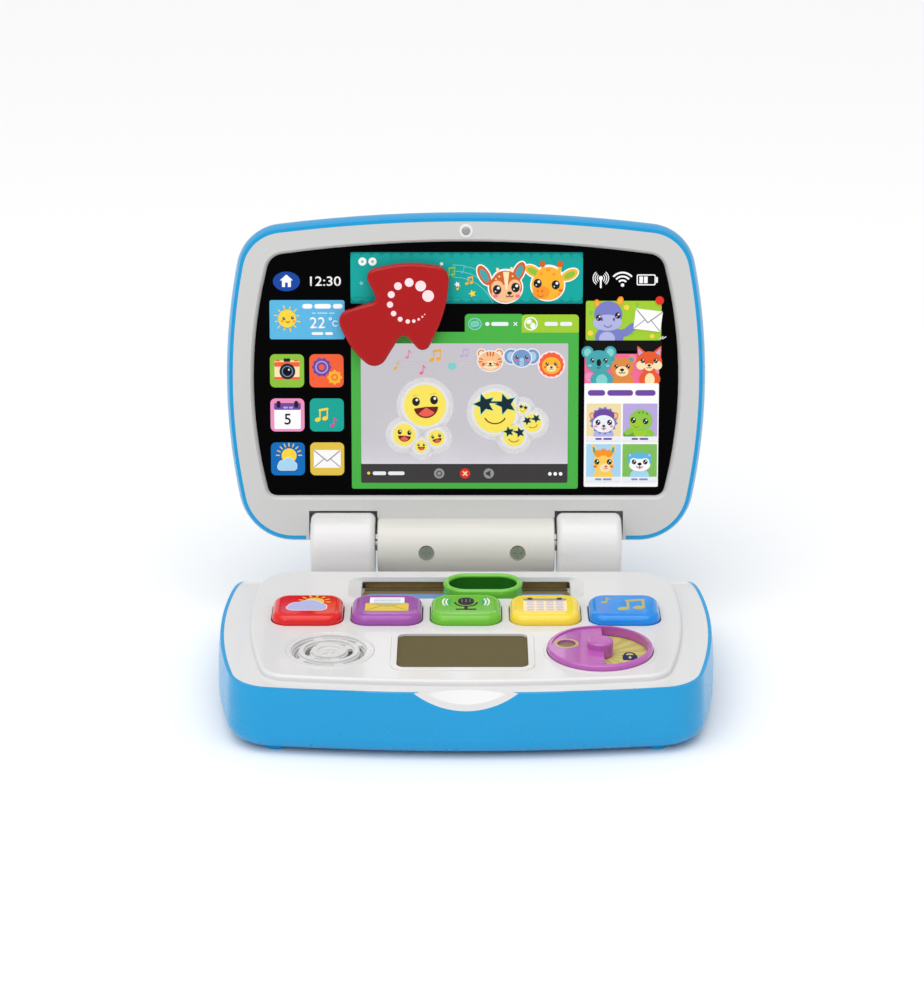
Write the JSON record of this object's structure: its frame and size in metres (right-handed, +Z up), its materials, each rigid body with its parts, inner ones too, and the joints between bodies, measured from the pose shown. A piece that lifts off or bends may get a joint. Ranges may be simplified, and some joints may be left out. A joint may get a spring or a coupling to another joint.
{
  "type": "toy laptop computer",
  "caption": "Folding toy laptop: printed screen with a mirror and turning arrow in the lid, picture keys, ring slider, window, speaker and dial on a battery base.",
  "frame": {"origin": "middle of the footprint of the whole object with the lid open, on the surface it stands on", "axes": "+X to the user's right along the hinge, +Y away from the user towards the lid, +Z up"},
  "size_m": [0.2492, 0.2202, 0.2117],
  "materials": {
    "blue_plastic": "moulded gloss ABS",
    "white_plastic": "moulded satin-gloss ABS",
    "red_plastic": "moulded gloss ABS",
    "purple_plastic": "moulded gloss ABS",
    "green_plastic": "moulded gloss ABS",
    "yellow_plastic": "moulded gloss ABS",
    "bright_blue_plastic": "moulded gloss ABS",
    "olive_lens": "tinted polycarbonate",
    "screen_black": "printed gloss panel",
    "mirror_film": "silvered plastic sheet",
    "printed_card": "printed and laminated",
    "grey_plastic": "gloss disc",
    "black_plastic": "plain moulded",
    "grey_rubber": "silicone",
    "board_green": "solder mask",
    "cell_jacket": "printed jacket",
    "paper_cone": "pressed paper",
    "steel": "zinc plated"
  },
  "bodies": {
    "base": {"base_shell": "blue_plastic", "base_feet": "blue_plastic", "base_deck": "white_plastic", "hinge_ear_left": "white_plastic", "hinge_ear_right": "white_plastic", "hinge_pin_left": "steel", "hinge_pin_right": "steel", "battery_door": "blue_plastic", "battery_door_screw": "steel", "battery_cells": "cell_jacket", "battery_contacts": "steel", "base_screws": "steel", "circuit_board": "board_green", "board_components": "black_plastic", "key_pad": "grey_rubber", "slider_label": "printed_card", "window_lens": "olive_lens", "light_board": "board_green", "dial_label": "printed_card", "speaker_grille": "white_plastic", "speaker_frame": "steel", "speaker_cone": "paper_cone", "speaker_magnet": "steel"},
    "lid": {"lid_shell": "blue_plastic", "lid_bezel": "white_plastic", "hinge_barrel_front": "white_plastic", "hinge_barrel_back": "white_plastic", "hinge_clutch_left": "black_plastic", "hinge_clutch_right": "black_plastic", "barrel_screws": "steel", "screen_panel": "screen_black", "mirror_sheet": "mirror_film", "camera_lens": "grey_plastic", "lid_screws": "steel"},
    "pointer": {"pointer_arrow": "red_plastic", "pointer_pivot": "black_plastic", "pointer_washer": "steel", "pointer_screw": "steel"},
    "slider": {"slider_ring": "green_plastic", "slider_carriage": "black_plastic"},
    "dial": {"dial_disc": "purple_plastic", "dial_clip": "black_plastic"},
    "key_weather": {"key_weather": "red_plastic"},
    "key_mail": {"key_mail": "purple_plastic"},
    "key_microphone": {"key_microphone": "green_plastic"},
    "key_calendar": {"key_calendar": "yellow_plastic"},
    "key_music": {"key_music": "bright_blue_plastic"}
  },
  "joints": [
    {"name": "lid_fold", "type": "hinge", "parent": "base", "child": "lid", "pos_m": [0, 0.06216, 0.0432], "axis": [1, 0, 0], "range_deg": [-12, 99.5]},
    {"name": "pointer_turn", "type": "hinge", "parent": "lid", "child": "pointer", "pos_m": [-0.0281, 0.08335, 0.16984], "axis": [0, -0.9863, 0.165], "continuous": true},
    {"name": "slider_slide", "type": "slide", "parent": "base", "child": "slider", "axis": [1, 0, 0], "range_m": [-0.0412, 0.024]},
    {"name": "dial_turn", "type": "hinge", "parent": "base", "child": "dial", "pos_m": [0.0649, -0.06454, 0.038], "axis": [0, 0, 1], "continuous": true},
    {"name": "key_weather_press", "type": "slide", "parent": "base", "child": "key_weather", "axis": [0, 0, -1], "range_m": [0, 0.0025], "stiffness_N_per_m": 600},
    {"name": "key_mail_press", "type": "slide", "parent": "base", "child": "key_mail", "axis": [0, 0, -1], "range_m": [0, 0.0025], "stiffness_N_per_m": 600},
    {"name": "key_microphone_press", "type": "slide", "parent": "base", "child": "key_microphone", "axis": [0, 0, -1], "range_m": [0, 0.0025], "stiffness_N_per_m": 600},
    {"name": "key_calendar_press", "type": "slide", "parent": "base", "child": "key_calendar", "axis": [0, 0, -1], "range_m": [0, 0.0025], "stiffness_N_per_m": 600},
    {"name": "key_music_press", "type": "slide", "parent": "base", "child": "key_music", "axis": [0, 0, -1], "range_m": [0, 0.0025], "stiffness_N_per_m": 600}
  ]
}
